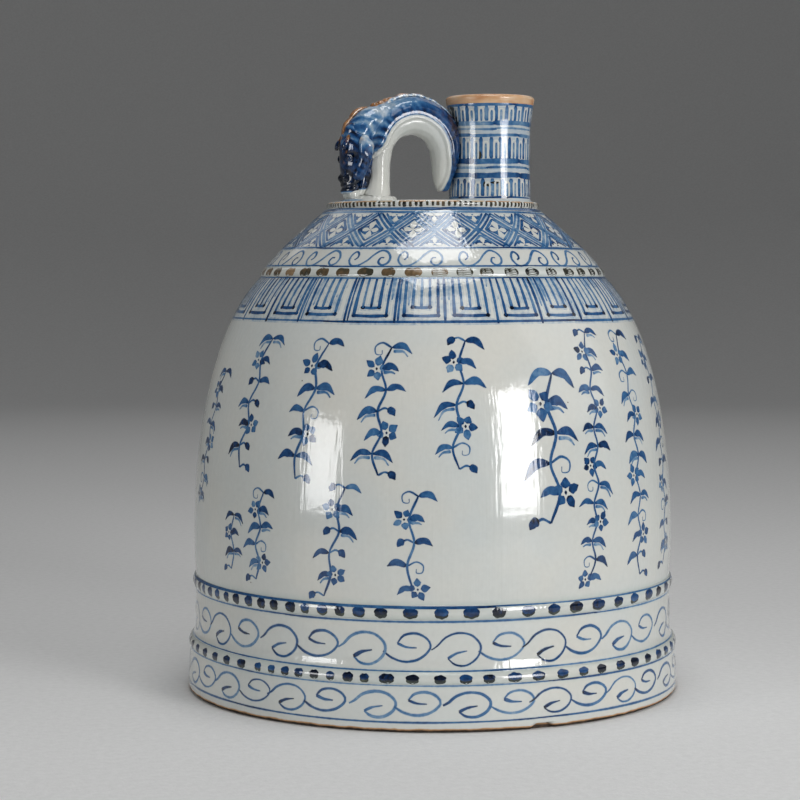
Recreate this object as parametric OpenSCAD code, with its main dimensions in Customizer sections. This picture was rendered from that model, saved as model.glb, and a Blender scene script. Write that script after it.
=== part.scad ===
// Porcelain bell in the form of a temple bell: a tall hollow dome that stands on its mouth,
// with four applied bands, and on the crown a sounding tube beside an arched dragon loop.
// The pieces are those that are thrown or moulded apart and then luted together with slip,
// so each one meets its neighbours face to face. Nothing in the bell moves.
// Millimetres, +Z up. The origin is the centre of the mouth, on the plane that the foot stands on.
// +X points from the dragon's head to the tube.

/* [Bell] */
// Radius of the bell at its foot
foot_r = 81.5; // [80:0.5:83]
// Thickness of the wall at the foot
wall_t = 5; // [4:0.5:5.5]
// Thickness of the wall under the crown
crown_wall_t = 4; // [3.5:0.1:4.2]
// Height of the bare, unglazed foot ring
foot_h = 2; // [1.5:0.5:3]
// Height of the crown's top above the foot
crown_z = 160.4; // [159.4:0.2:161.4]

/* [Bands] */
// How far a band stands proud of the wall
band_proud = 0.9; // [0.5:0.1:1.5]
// Height of the band above the hem
hem_band_h = 3.6; // [3:0.2:4.4]
// Height of the band at the waist
waist_band_h = 4.6; // [3:0.2:5]
// Height of the band at the shoulder
shoulder_band_h = 3; // [2.4:0.2:4]

/* [Tube] */
// Radius of the sounding tube
tube_r = 13.7; // [13:0.1:14]
// Radius of the bore that runs from the tube's mouth into the bell
bore_r = 9; // [7:0.5:9]
// Height of the tube's mouth above the foot
tube_top_z = 196; // [190:1:200]
// Distance from the bell's axis to the tube's axis
tube_x = 20.5; // [20:0.1:21]

/* [Dragon] */
// Number of lobes in the crest along the dragon's back
crest_lobes = 6; // [4:1:10]
// Height of the crest's lobes
crest_h = 1.7; // [1:0.1:1.8]
// Radius of the low pad of clay that the dragon's foreleg and snout stand on
pad_r = 9.2; // [8:0.2:10]

/* [Hidden] */
$fn = 96;

glaze = "#dfe2df";
cobalt = "#2b4f92";
bare_clay = "#6b4a32";
iron_lip = "#d9a878";

// Heights of the bands' lower edges and of the wall's top.
hem_z = 14.6;
waist_z = 33.7;
shoulder_z = 136.2;
neck_z = 157.5;
shoulder_r = 57.1;    // the outside of the wall under the shoulder band
neck_r = 36.4;        // the outside of the wall under the crown
curve_steps = 24;     // points along the curve of the body
bead_step = 15;       // degrees between the points round a bead

// ---------- curves ----------
function bezier(p, t) = pow(1 - t, 3) * p[0] + 3 * pow(1 - t, 2) * t * p[1]
                      + 3 * (1 - t) * t * t * p[2] + pow(t, 3) * p[3];
function curve(p, n) = [for (i = [0 : n]) bezier(p, i / n)];
function reversed(list) = [for (i = [len(list) - 1 : -1 : 0]) list[i]];
function unit(v) = v / norm(v);
function arc(centre, r, from, to) =
    [for (a = [from : bead_step : to]) centre + r * [cos(a), sin(a)]];

// ---------- outline of the bell, as radius and height ----------
hem_low = [foot_r - 0.6, hem_z];
hem_high = [foot_r - 1.4, hem_z + hem_band_h];
waist_low = [foot_r - 2.5, waist_z];
waist_high = [foot_r - 2.5, waist_z + waist_band_h];
shoulder_low = [shoulder_r, shoulder_z];
shoulder_high = [shoulder_r - 1.6, shoulder_z + shoulder_band_h];
bell_line = concat(
    [[foot_r, foot_h], [foot_r, foot_h + 3.5], hem_low, hem_high, [foot_r - 2.3, hem_high[1] + 3],
     waist_low],
    curve([waist_high, [80.3, 49], [81.3, 111.7], shoulder_low], curve_steps),
    curve([shoulder_high, [51.8, 144.4], [44.6, 150.4], [neck_r, neck_z]], curve_steps / 2));

// The outline pushed inwards, square to the curve, by a wall that thins upwards.
function wall_at(z) = wall_t - (wall_t - crown_wall_t) * z / neck_z;
function inside_of(line) = [for (i = [0 : len(line) - 1])
    let (last = len(line) - 1, d = unit(line[min(i + 1, last)] - line[max(i - 1, 0)]),
         t = wall_at(line[i][1]))
    i == 0 || i == last ? line[i] - [t / d[1], 0] : line[i] + t * [-d[1], d[0]]];

module level_slice(from, to) {
    intersection() {
        children();
        translate([0, 0, from]) cylinder(h = to - from, r = foot_r + 10);
    }
}

// The wall is thrown in three parts, which join behind the waist and shoulder bands.
module wall(from, to) {
    level_slice(from, to)
        rotate_extrude() polygon(concat(bell_line, reversed(inside_of(bell_line))));
}
skirt_top = waist_z + waist_band_h / 2;
body_top = shoulder_z + shoulder_band_h / 2;

// A band luted on the wall between two points of its outline: a low rounded bead.
module band(low, high) {
    out = unit([high[1] - low[1], low[0] - high[0]]);
    rotate_extrude() polygon([for (a = [0 : bead_step : 180])
        low + (high - low) * (1 - cos(a)) / 2 + out * band_proud * sin(a)]);
}

// ---------- bell ----------
module foot_rim() {
    rounding = 0.7;
    inner = foot_r - wall_t;
    color(bare_clay) rotate_extrude() polygon(concat(
        [[inner, foot_h], [inner, rounding], [inner + rounding, 0]],
        arc([foot_r - rounding, rounding], rounding, -90, 0),
        [[foot_r, foot_h]]));
}

module skirt_wall() { color(glaze) wall(foot_h, skirt_top); }
module hem_band() { color(glaze) band(hem_low, hem_high); }
module waist_band() { color(glaze) band(waist_low, waist_high); }
module body_wall() { color(glaze) wall(skirt_top, body_top); }
module shoulder_band() { color(glaze) band(shoulder_low, shoulder_high); }
module shoulder_wall() { color(glaze) wall(body_top, neck_z); }

// The crown is a flat plate on the wall's rim, edged with a notched bead.
plate_r = neck_r - 2;
module crown_band() {
    bead_r = (crown_z - neck_z + 0.3) / 2;
    color(glaze) rotate_extrude() polygon(concat(
        [[plate_r, neck_z]],
        arc([neck_r - bead_r, neck_z + bead_r], bead_r, -90, 90),
        [[plate_r, neck_z + 2 * bead_r]]));
}

spigot_r = bore_r + 2;      // the tube's end, which sits in the crown plate
module crown_plate() {
    color(glaze) difference() {
        translate([0, 0, neck_z]) cylinder(h = crown_z - neck_z, r = plate_r);
        at_tube() translate([0, 0, neck_z - 1]) cylinder(h = 10, r = spigot_r);
    }
}

// ---------- tube ----------
lip_h = 3;
lip_z = tube_top_z - lip_h;
tube_steps = 12;
// The tube draws in a little at half its height and flares slightly under the lip.
function tube_side(t) = [tube_r - 0.35 * sin(180 * t) + 0.3 * pow(t, 4),
                         crown_z + (lip_z - crown_z) * t];

module at_tube() {
    translate([tube_x, 0, 0]) children();
}

module tube() {
    color(cobalt) at_tube() rotate_extrude() polygon(concat(
        [[bore_r, neck_z], [spigot_r, neck_z], [spigot_r, crown_z]],
        [for (i = [0 : tube_steps]) tube_side(i / tube_steps)],
        [[bore_r, lip_z]]));
}

module tube_lip() {
    lip_r = 1.3;
    color(iron_lip) at_tube() rotate_extrude() polygon(concat(
        [[bore_r, lip_z], [tube_side(1)[0], lip_z]],
        arc([tube_r, lip_z + lip_h - lip_r], lip_r, -60, 90),
        [[bore_r + 0.8, tube_top_z], [bore_r, tube_top_z - 0.8]]));
}

// The slip that is wiped round the tube's foot.
module tube_collar() {
    color(cobalt) at_tube() rotate_extrude() polygon([
        tube_side(0), [tube_r + 0.9, crown_z], [tube_r + 0.3, crown_z + 0.4],
        tube_side(1 / tube_steps)]);
}

// ---------- dragon ----------
// Stations along each rolled part: x, z, half its thickness seen from the side, half its width.
// The loop runs from the tail's tip over the top, and down the foreleg to the crown.
loop_line = [[3.1, 164.9, 0.4, 0.5], [3.1, 165.5, 2, 2.2], [3.7, 169.5, 3.5, 4.6],
             [4.5, 175, 4.8, 6.2], [4.3, 180.5, 5.8, 6.6], [0.7, 186.1, 6.2, 6.6],
             [-6.9, 189.2, 6.4, 6.6], [-14.4, 186.9, 6.1, 6.5], [-18.6, 181, 5.1, 6.2],
             [-19.5, 174.5, 4.4, 5.6], [-19.5, 169.5, 4.1, 5.3], [-19.8, 164.8, 4.5, 5.6],
             [-20.4, crown_z, 5.6, 6.6]];
leg_start = 9;
// The neck and head run from the loop's shoulder down to the snout.
head_line = [[-19.5, 188.3, 4.2, 5.2], [-23.4, 186.2, 4.8, 5.7], [-26.4, 182, 5, 6.2],
             [-27.4, 177.5, 4.9, 6.4], [-28, 173, 4.3, 5.7], [-28.6, 169.3, 3.6, 4.9],
             [-29, 166, 3.4, 4.6], [-29.2, 163.2, 2.7, 3.9]];
head_start = 2;
jaw_line = [[-24.6, 171.6, 1.6, 2.8], [-25.2, 168.4, 2.6, 3.7], [-26, 165, 2.5, 3.6],
            [-26.4, 162.4, 2, 3]];
brow_line = [[-29.8, 182, 0.8, 0.8], [-31, 180.5, 1.3, 1.3], [-32, 178.5, 1.4, 1.4],
             [-32.6, 177, 0.8, 0.8]];
ear_line = [[-25.6, 182, 0.8, 0.8], [-26, 180.4, 1.9, 1.4], [-25.8, 177.3, 2.3, 1.7],
            [-25.6, 174.5, 1.8, 1.4], [-25.8, 172.8, 0.8, 0.8]];
brow_y = 3.7;
ear_y = 6.5;
rings_per_span = 4;
ring_sides = 16;

function catmull(p0, p1, p2, p3, t) =
    0.5 * (2 * p1 + (p2 - p0) * t + (2 * p0 - 5 * p1 + 4 * p2 - p3) * t * t
           + (3 * p1 - p0 - 3 * p2 + p3) * pow(t, 3));
function station(line, u) =
    let (last = len(line) - 1, i = min(floor(u), last - 1))
    catmull(line[max(i - 1, 0)], line[i], line[i + 1], line[min(i + 2, last)], u - i);
function heading(line, u) =
    let (last = len(line) - 1, a = station(line, max(u - 0.05, 0)),
         b = station(line, min(u + 0.05, last)))
    u == last ? [0, -1] : unit([b[0] - a[0], b[1] - a[1]]);
// A point on a rolled part's surface: phi is 0 on the outer side, 90 on the flank, 180 inside.
function skin(line, u, phi, lift = 0) =
    let (s = station(line, u), h = heading(line, u), r = s[2] + lift)
    [s[0] + h[1] * r * cos(phi), -s[3] * sin(phi), s[1] - h[0] * r * cos(phi)];

// The closed tube from station `from` to station `to`.
module roll(line, from, to) {
    rings = (to - from) * rings_per_span;
    n = ring_sides;
    points = [for (i = [0 : rings], k = [0 : n - 1])
        skin(line, from + i / rings_per_span, 360 * k / n)];
    sides = [for (i = [0 : rings - 1], k = [0 : n - 1])
        let (a = i * n + k, b = i * n + (k + 1) % n) [a, b, b + n, a + n]];
    first = [for (k = [n - 1 : -1 : 0]) k];
    final = [for (k = [0 : n - 1]) rings * n + k];
    polyhedron(points, concat(sides, [first, final]), convexity = 6);
}

module pair(y) {
    for (side = [-1, 1]) translate([0, side * y, 0]) children();
}

module body_roll() { roll(loop_line, 0, leg_start); }
module leg_roll() { roll(loop_line, leg_start, len(loop_line) - 1); }
module neck_roll() { roll(head_line, 0, head_start); }
module head_roll() { roll(head_line, head_start, len(head_line) - 1); }
module neck_and_head_roll() { roll(head_line, 0, len(head_line) - 1); }
module jaw_roll() { roll(jaw_line, 0, len(jaw_line) - 1); }
module brow_rolls() { pair(brow_y) roll(brow_line, 0, len(brow_line) - 1); }
module ear_rolls() { pair(ear_y) roll(ear_line, 0, len(ear_line) - 1); }

// A low dome on the crown.
module pad_dome() {
    h = 2.6;
    r = (pad_r * pad_r + h * h) / (2 * h);
    translate([-23.6, 0, crown_z + h - r]) sphere(r = r);
}

module dragon_pad() {
    color(glaze) level_slice(crown_z, crown_z + 5) pad_dome();
}

// What a part is luted onto is cut out of it, so that the two meet face to face.
module dragon_body() {
    color(cobalt) difference() {
        body_roll();
        at_tube() translate([0, 0, crown_z]) cylinder(h = tube_top_z - crown_z, r = tube_r);
    }
}

module dragon_foreleg() {
    color(glaze) difference() {
        leg_roll();
        pad_dome();
    }
}

module dragon_neck() {
    color(cobalt) difference() {
        neck_roll();
        body_roll();
    }
}

module dragon_head() {
    color(cobalt) difference() {
        head_roll();
        body_roll();
        leg_roll();
        pad_dome();
    }
}

module dragon_jaw() {
    color(glaze) difference() {
        jaw_roll();
        head_roll();
        leg_roll();
        pad_dome();
    }
}

module dragon_nostrils() {
    color(cobalt) difference() {
        pair(2.4) translate([-31.4, 0, 168.2]) sphere(r = 1.6);
        head_roll();
    }
}

module dragon_brows() {
    color(cobalt) difference() {
        brow_rolls();
        neck_and_head_roll();
    }
}

module dragon_eyes() {
    color(cobalt) difference() {
        pair(4.6) translate([-30.6, 0, 174.6]) sphere(r = 1.6);
        head_roll();
    }
}

module dragon_ears() {
    color(cobalt) difference() {
        ear_rolls();
        neck_and_head_roll();
    }
}

// A fin along the back, whose lobes die out towards the tube.
crest_on_loop = [4.4, 7];       // stations that it covers on the loop
crest_steps = 6;                // points in each lobe
function crest_point(i) =
    let (t = i / (crest_lobes * crest_steps), lobe = abs(sin(180 * i / crest_steps)),
         u = crest_on_loop[0] + (crest_on_loop[1] - crest_on_loop[0]) * t,
         p = skin(loop_line, u, 0, crest_h * (0.45 * t + 0.55 * t * lobe)))
    [p[0], p[2]];
function mane_point(i) =
    let (t = i / (2 * crest_steps), lobe = abs(sin(180 * i / crest_steps)),
         p = skin(head_line, 0.4 + 2 * t, 0, crest_h * (0.3 + 0.5 * lobe) * sin(180 * min(1, 1.1 * t))))
    [p[0], p[2]];
function under(line, u) = let (s = station(line, u)) [s[0], s[1]];

module fin(points) {
    thickness = 2.4;
    translate([0, thickness / 2, 0]) rotate([90, 0, 0]) linear_extrude(thickness) polygon(points);
}

module dragon_crest() {
    color(iron_lip) difference() {
        union() {
            fin(concat([for (i = [0 : crest_lobes * crest_steps]) crest_point(i)],
                       [for (u = [7, 6, 5, 4.4]) under(loop_line, u)]));
            fin(concat([for (i = [0 : 2 * crest_steps]) mane_point(i)],
                       [for (u = [2.4, 1.4, 0.4]) under(head_line, u)]));
        }
        body_roll();
        neck_and_head_roll();
    }
}

foot_rim();
skirt_wall();
hem_band();
waist_band();
body_wall();
shoulder_band();
shoulder_wall();
crown_band();
crown_plate();
tube();
tube_lip();
tube_collar();
dragon_pad();
dragon_body();
dragon_foreleg();
dragon_neck();
dragon_head();
dragon_jaw();
dragon_nostrils();
dragon_brows();
dragon_eyes();
dragon_ears();
dragon_crest();
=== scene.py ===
import math
import random

import bmesh
import bpy
import numpy as np
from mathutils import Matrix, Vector, noise


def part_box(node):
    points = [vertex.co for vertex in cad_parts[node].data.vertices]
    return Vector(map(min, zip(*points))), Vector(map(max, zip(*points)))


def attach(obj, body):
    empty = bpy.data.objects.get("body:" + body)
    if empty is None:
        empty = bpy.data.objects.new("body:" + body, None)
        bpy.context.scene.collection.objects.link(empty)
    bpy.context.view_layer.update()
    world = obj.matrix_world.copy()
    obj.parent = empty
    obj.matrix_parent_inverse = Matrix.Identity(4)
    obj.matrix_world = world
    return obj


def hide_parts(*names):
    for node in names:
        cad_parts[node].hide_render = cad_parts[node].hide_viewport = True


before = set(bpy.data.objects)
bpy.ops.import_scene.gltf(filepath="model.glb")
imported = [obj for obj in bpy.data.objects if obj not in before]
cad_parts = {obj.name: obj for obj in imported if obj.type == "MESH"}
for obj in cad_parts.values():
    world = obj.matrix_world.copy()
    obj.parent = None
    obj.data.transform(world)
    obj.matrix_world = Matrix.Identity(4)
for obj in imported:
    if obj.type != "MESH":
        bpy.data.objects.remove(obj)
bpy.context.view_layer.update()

# Lengths are in millimetres and angles in degrees, unless a line says otherwise.
# Angles round the bell are measured from the front, which faces the camera, and grow to the right.
MM = 0.001
FRONT = -21            # the front's direction in the frame, from -Y towards +X
rng = random.Random(7)
vary = rng.uniform


# ---------------------------------------------------------------- camera and light
CAMERA_DISTANCE = 720
CAMERA_HEIGHT = 139
CAMERA_PITCH = 3.5     # downwards
CAMERA_YAW = 0.86      # to the left, so that the bell stands a little right of the middle
CAMERA_LENS = 97.2     # on a 36 mm sensor
KEY_SPREAD = 100       # the two low softboxes have grids, which keep their light off the floor
AIM_Z = 90             # the height on the bell's axis that the lights look at


def direction(angle, elevation=0):
    """The unit vector that points from the bell's axis at an angle from the front."""
    a, e = math.radians(FRONT + angle), math.radians(elevation)
    return Vector((math.sin(a) * math.cos(e), -math.cos(a) * math.cos(e), math.sin(e)))


def make_camera():
    camera = bpy.data.objects.new("camera", bpy.data.cameras.new("camera"))
    bpy.context.scene.collection.objects.link(camera)
    camera.data.lens = CAMERA_LENS
    camera.data.clip_start = 0.05
    place = direction(0) * CAMERA_DISTANCE
    place.z = CAMERA_HEIGHT
    yaw, pitch = math.radians(CAMERA_YAW), math.radians(CAMERA_PITCH)
    level = -direction(0) * math.cos(yaw) - direction(90) * math.sin(yaw)
    look = level * math.cos(pitch) - Vector((0, 0, math.sin(pitch)))
    camera.location = place * MM
    camera.rotation_mode = "QUATERNION"
    camera.rotation_quaternion = look.to_track_quat("-Z", "Y")
    bpy.context.scene.camera = camera


def softbox(name, angle, elevation, distance, width, height, power, spread=180):
    """An area light that looks at the bell. Spread is the angle of its cone."""
    light = bpy.data.lights.new(name, "AREA")
    light.shape = "RECTANGLE"
    light.size, light.size_y = width * MM, height * MM
    light.energy, light.spread = power, math.radians(spread)
    lamp = bpy.data.objects.new(name, light)
    bpy.context.scene.collection.objects.link(lamp)
    lamp.location = (Vector((0, 0, AIM_Z)) + direction(angle, elevation) * distance) * MM
    lamp.rotation_mode = "QUATERNION"
    lamp.rotation_quaternion = (-direction(angle, elevation)).to_track_quat("-Z", "Y")
    lamp.visible_camera = False


def make_lights():
    softbox("right_softbox", 40, 10.5, 900, 290, 390, 1.3, KEY_SPREAD)
    softbox("left_softbox", -52, 6.5, 950, 290, 280, 0.55, KEY_SPREAD)
    softbox("overhead_softbox", 30, 87, 900, 380, 330, 2.4)
    softbox("front_softbox", 8, 60, 900, 380, 260, 0.7)
    softbox("side_fill", 80, 30, 1300, 900, 900, 1.8)
    softbox("back_fill", 185, 45, 1500, 1500, 900, 2.6)
    bpy.context.scene.view_settings.view_transform = "Standard"


# ---------------------------------------------------------------- meshes
def smoothstep(low, high, value):
    """0 below low and 1 above high, with an easy rise between them. It falls where low is the higher."""
    t = np.clip((value - low) / (high - low), 0, 1)
    return t * t * (3 - 2 * t)


def bump_at(value, middle, width):
    """1 in the middle, falling off to 0 on both sides."""
    return np.exp(-((value - middle) / width) ** 2)


def new_object(name, points, faces, material):
    """A smooth mesh object from points in mm. Each face is a list of point numbers."""
    mesh = bpy.data.meshes.new(name)
    mesh.from_pydata((np.asarray(points, float) * MM).tolist(), [], faces)
    mesh.materials.append(material)
    mesh.shade_smooth()
    mesh.validate()
    mesh.update()
    made = bpy.data.objects.new(name, mesh)
    bpy.context.scene.collection.objects.link(made)
    return made


def point_values(piece, **layers):
    """Gives the piece's points values that its material reads."""
    for name, values in layers.items():
        layer = piece.data.attributes.new(name, "FLOAT", "POINT")
        layer.data.foreach_set("value", values.astype(np.float32))


def belongs(piece, slot, *nodes):
    """The piece rides on the bell's one body and stands for these CAD nodes."""
    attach(piece, "root")
    if nodes:
        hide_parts(*nodes)


def ring_faces(rows, columns, wrap_rows=True):
    """Quads of a grid whose columns close into rings, and whose rows may close too."""
    faces = []
    for i in range(rows if wrap_rows else rows - 1):
        a, b = i * columns, (i + 1) % rows * columns
        for k in range(columns):
            n = (k + 1) % columns
            faces.append((a + k, a + n, b + n, b + k))
    return faces


# ---------------------------------------------------------------- the bell's turned surfaces
def cad_points(*nodes):
    """Every point of these CAD nodes, in mm."""
    return np.array([v.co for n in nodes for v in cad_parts[n].data.vertices]) / MM


def cad_side(outward, *nodes, centre_x=0.0):
    """Heights and radii of the turned rings on the outer (1) or inner (-1) side of CAD nodes."""
    points = cad_points(*nodes) - np.array([centre_x, 0, 0])
    normals = np.array([v.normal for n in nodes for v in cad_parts[n].data.vertices])
    radius = np.hypot(points[:, 0], points[:, 1])
    facing = (points[:, :2] * normals[:, :2]).sum(axis=1) / radius * outward
    points, radius = points[facing > 0.4], radius[facing > 0.4]
    height = np.round(points[:, 2], 2)
    levels = np.unique(height)
    furthest = np.max if outward > 0 else np.min
    return levels, np.array([furthest(radius[height == z]) for z in levels])


def cad_range(node):
    """The lowest and highest point of a CAD node, in mm."""
    lo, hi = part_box(node)
    return lo[2] / MM, hi[2] / MM


WALL_Z, WALL_OUT = cad_side(1, "skirt_wall", "body_wall", "shoulder_wall")
INNER_Z, WALL_IN = cad_side(-1, "skirt_wall", "body_wall", "shoulder_wall")


def wall_level(z):
    """The CAD wall's own ring nearest to a height."""
    return WALL_Z[np.abs(WALL_Z - z).argmin()]


HEM = [wall_level(z) for z in cad_range("hem_band")]
WAIST = [wall_level(z) for z in cad_range("waist_band")]
SHOULDER = [wall_level(z) for z in cad_range("shoulder_band")]
FOOT_TOP, NECK = WALL_Z[0], WALL_Z[-1]
CROWN_Z = cad_range("crown_plate")[1]
STRETCHES = [(FOOT_TOP, HEM[0]), (HEM[1], WAIST[0]), (WAIST[1], SHOULDER[0]), (SHOULDER[1], NECK)]


def smooth_outline(low, high):
    """A polynomial through the CAD wall's outer rings between two heights."""
    at = (WALL_Z >= low - 0.01) & (WALL_Z <= high + 0.01)
    z, r = WALL_Z[at], WALL_OUT[at]
    return np.polynomial.Polynomial.fit(z, r, min(7, len(z) - 1))


OUTLINES = [(low, high, smooth_outline(low, high)) for low, high in STRETCHES]


def wall_outline(z):
    """The bell's outer radius at each height. Under a band it is the straight chord."""
    r = np.interp(z, WALL_Z, WALL_OUT)
    for low, high, outline in OUTLINES:
        r = np.where((z >= low) & (z <= high), outline(z), r)
    return r


FINE_Z = np.arange(0, NECK + 5, 0.05)
FINE_R = wall_outline(FINE_Z)


def wall_radius(z):
    return np.interp(z, FINE_Z, FINE_R)


def throwing(angle, z):
    """How far the thrown wall lies inside its true outline: slow waves and faint finger rings."""
    a = np.radians(angle)
    slow = np.sin(2 * a + z / 31 + 0.7) + np.sin(3 * a - z / 23 + 2.1)
    middle = np.sin(z / 6.5 + 2 * np.sin(2 * a)) + 0.7 * np.sin(11 * a + z / 19)
    rings = np.sin(1.15 * z + 0.8 * np.sin(a))
    return 0.16 + 0.02 * slow + 0.022 * middle + 0.004 * rings


def ring(radius, z, angle, centre_x=0.0):
    """Points at a radius and a height round an upright axis, at angles from the front."""
    a = np.radians(angle + FRONT)
    x, y = centre_x + radius * np.sin(a), -radius * np.cos(a)
    return np.stack(np.broadcast_arrays(x, y, z), -1)


class Turned:
    """A turned surface round an upright axis, addressed by angle and height."""

    def __init__(self, radius, unevenness, centre_x=0.0):
        self.radius, self.unevenness, self.centre_x = radius, unevenness, centre_x

    def at(self, angle, z, lift=0.0):
        """The point there, or one that stands off the surface by the lift."""
        angle, z = np.broadcast_arrays(np.asarray(angle, float), np.asarray(z, float))
        slope = (self.radius(z + 0.05) - self.radius(z - 0.05)) / 0.1
        steep = 1 / np.sqrt(1 + slope**2)
        r = self.radius(z) - self.unevenness(angle, z) + lift * steep
        return ring(r, z - lift * slope * steep, angle, self.centre_x)

    def normal(self, angle, z):
        across = self.at(angle + 0.3, z) - self.at(angle - 0.3, z)
        up = self.at(angle, z + 0.2) - self.at(angle, z - 0.2)
        n = np.cross(across, up)
        return n / np.linalg.norm(n, axis=-1, keepdims=True)


WALL = Turned(wall_radius, throwing)


def turned_piece(name, surface, low, high, rows, inside, material, slot, node, segments=400):
    """A closed turned solid for a CAD node. Its outside is the surface, its inside's radius inside(z)."""
    angles = np.arange(segments) * 360 / segments
    grid = [surface.at(angles, z) for z in np.linspace(low, high, rows)]
    for z in np.linspace(high, low, max(rows // 4, 3)):
        grid.append(ring(inside(z), z, angles, surface.centre_x))
    made = new_object(name, np.concatenate(grid), ring_faces(len(grid), segments), material)
    made.data.set_sharp_from_angle(angle=math.radians(60))
    belongs(made, slot, node)


# ---------------------------------------------------------------- materials
class Shader:
    """Small helper that builds one material's nodes around a Principled shader."""

    def __init__(self, name, **values):
        self.material = bpy.data.materials.new(name)
        self.material.use_nodes = True
        self.tree = self.material.node_tree
        self.surface = self.tree.nodes["Principled BSDF"]
        for socket, value in values.items():
            self.surface.inputs[socket.replace("_", " ")].default_value = value
        self.place = self.node("TexCoord").outputs["Object"]

    def node(self, kind, **inputs):
        """A node whose inputs, by name, are other nodes' outputs or values."""
        made = self.tree.nodes.new("ShaderNode" + kind)
        for socket, value in inputs.items():
            self.feed(made.inputs[socket], value)
        return made

    def feed(self, socket, value):
        if isinstance(value, bpy.types.NodeSocket):
            self.tree.links.new(value, socket)
        else:
            socket.default_value = value

    def noise(self, size, detail=3, stretch=(1, 1, 1)):
        """Noise whose blobs are about size mm across."""
        mapped = self.node("Mapping", Vector=self.place, Scale=stretch)
        return self.node("TexNoise", Vector=mapped.outputs[0],
                         Scale=1 / (size * MM), Detail=detail).outputs[0]

    def ramp(self, factor, stops):
        """A colour ramp from (place, colour) stops."""
        made = self.node("ValToRGB", Fac=factor)
        elements = made.color_ramp.elements
        while len(elements) < len(stops):
            elements.new(0.5)
        for element, (place, colour) in zip(elements, stops):
            element.position = place
            element.color = (*colour, 1)
        return made.outputs["Color"]

    def math(self, operation, a, b, clamp=False):
        made = self.node("Math")
        made.operation, made.use_clamp = operation, clamp
        self.feed(made.inputs[0], a)
        self.feed(made.inputs[1], b)
        return made.outputs[0]

    def add(self, a, b, clamp=False):
        return self.math("ADD", a, b, clamp)

    def times(self, a, b, clamp=False):
        return self.math("MULTIPLY", a, b, clamp)

    def mix(self, factor, a, b, blend="MIX"):
        made = self.node("Mix")
        made.data_type, made.blend_type = "RGBA", blend
        for socket, value in zip((made.inputs[0], made.inputs[6], made.inputs[7]), (factor, a, b)):
            self.feed(socket, value)
        return made.outputs[2]

    def attribute(self, name):
        made = self.node("Attribute")
        made.attribute_name = name
        return made.outputs["Fac"]

    def height(self):
        """The height above the floor in mm."""
        parts = self.node("SeparateXYZ", Vector=self.place)
        return self.math("DIVIDE", parts.outputs["Z"], MM)

    def specks(self, spacing, size):
        """1 on sparse round specks, 0 elsewhere."""
        cells = self.node("TexVoronoi", Vector=self.place, Scale=1 / (spacing * MM))
        return self.math("LESS_THAN", cells.outputs["Distance"], size / spacing)

    def bump(self, height, depth):
        """Bumps of about depth mm."""
        made = self.node("Bump", Height=height, Strength=1.0, Distance=depth * MM)
        self.tree.links.new(made.outputs[0], self.surface.inputs["Normal"])

    def finish(self, colour, roughness):
        self.feed(self.surface.inputs["Base Color"], colour)
        self.feed(self.surface.inputs["Roughness"], roughness)
        return self.material


GLAZE_IOR = 1.6
WHITE = (0.64, 0.635, 0.585)
COOL_WHITE = (0.585, 0.615, 0.60)
IRON_SPECK = (0.10, 0.075, 0.05, 1)
POOLED = (0.87, 0.925, 0.925)


def grey(value):
    return (value, value, value)


def glaze_gloss(s, low=0.04, high=0.15):
    """Roughness of a fired glaze: mirror-like, with faintly duller patches."""
    return s.add(s.times(s.noise(9, 4), high - low), low)


def glaze_skin(s, depth=0.03):
    """The glaze's orange peel and pinholes, over faint finger marks and upright runs."""
    marks = s.noise(6, 3, (1, 1, 2.2))
    peel = s.times(s.noise(1.6, 2), 0.35)
    runs = s.times(s.noise(1.2, 1, (1, 1, 0.04)), 2.1)
    holes = s.times(s.specks(9, 0.22), -0.3)
    s.bump(s.add(s.add(marks, runs), s.add(peel, holes)), depth)


def pooled_glaze(s):
    """Where the glaze lies thicker against the bands in relief it looks a little green."""
    stops = []
    for low, high in (HEM, WAIST, SHOULDER):
        stops += [(low - 1.6, grey(1)), (low - 0.1, POOLED), ((low + high) / 2, grey(1)),
                  (high + 0.1, POOLED), (high + 1.4, grey(1))]
    wandering = s.add(s.height(), s.add(s.noise(6, 3), -0.5))
    return s.ramp(s.math("DIVIDE", wandering, CROWN_Z), [(z / CROWN_Z, colour) for z, colour in stops])


def bare_glaze(s, warm=WHITE, cool=COOL_WHITE):
    """The colour of the unpainted glaze, with its clouding and its iron specks."""
    cloud = s.ramp(s.noise(28, 5), [(0.3, cool), (0.72, warm)])
    fine = s.ramp(s.noise(1.5, 3), [(0.2, grey(0.94)), (0.8, grey(1.0))])
    body = s.mix(1.0, s.mix(1.0, cloud, fine, "MULTIPLY"), pooled_glaze(s), "MULTIPLY")
    return s.mix(s.specks(13, 0.24), body, IRON_SPECK)


def porcelain_material(name="porcelain_glaze", warm=WHITE, cool=COOL_WHITE):
    s = Shader(name, IOR=GLAZE_IOR)
    glaze_skin(s)
    return s.finish(bare_glaze(s, warm, cool), glaze_gloss(s))


COBALT = [(0.0, (0.55, 0.575, 0.56)), (0.12, (0.38, 0.45, 0.51)), (0.3, (0.13, 0.245, 0.39)),
          (0.5, (0.038, 0.13, 0.285)), (0.72, (0.011, 0.058, 0.172)), (0.9, (0.0035, 0.021, 0.075)),
          (1.0, (0.0014, 0.005, 0.016))]
OLIVE = [(0.0, (0.13, 0.14, 0.10)), (0.35, (0.050, 0.062, 0.048)), (0.6, (0.018, 0.027, 0.025)),
         (1.0, (0.006, 0.010, 0.012))]
IRON = [(0.0, (0.33, 0.22, 0.12)), (0.35, (0.13, 0.085, 0.045)), (0.6, (0.045, 0.043, 0.028)),
        (1.0, (0.010, 0.012, 0.013))]
TOASTED = [(0.0, (0.55, 0.42, 0.28)), (0.5, (0.42, 0.21, 0.085)), (1.0, (0.09, 0.045, 0.02))]


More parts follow.
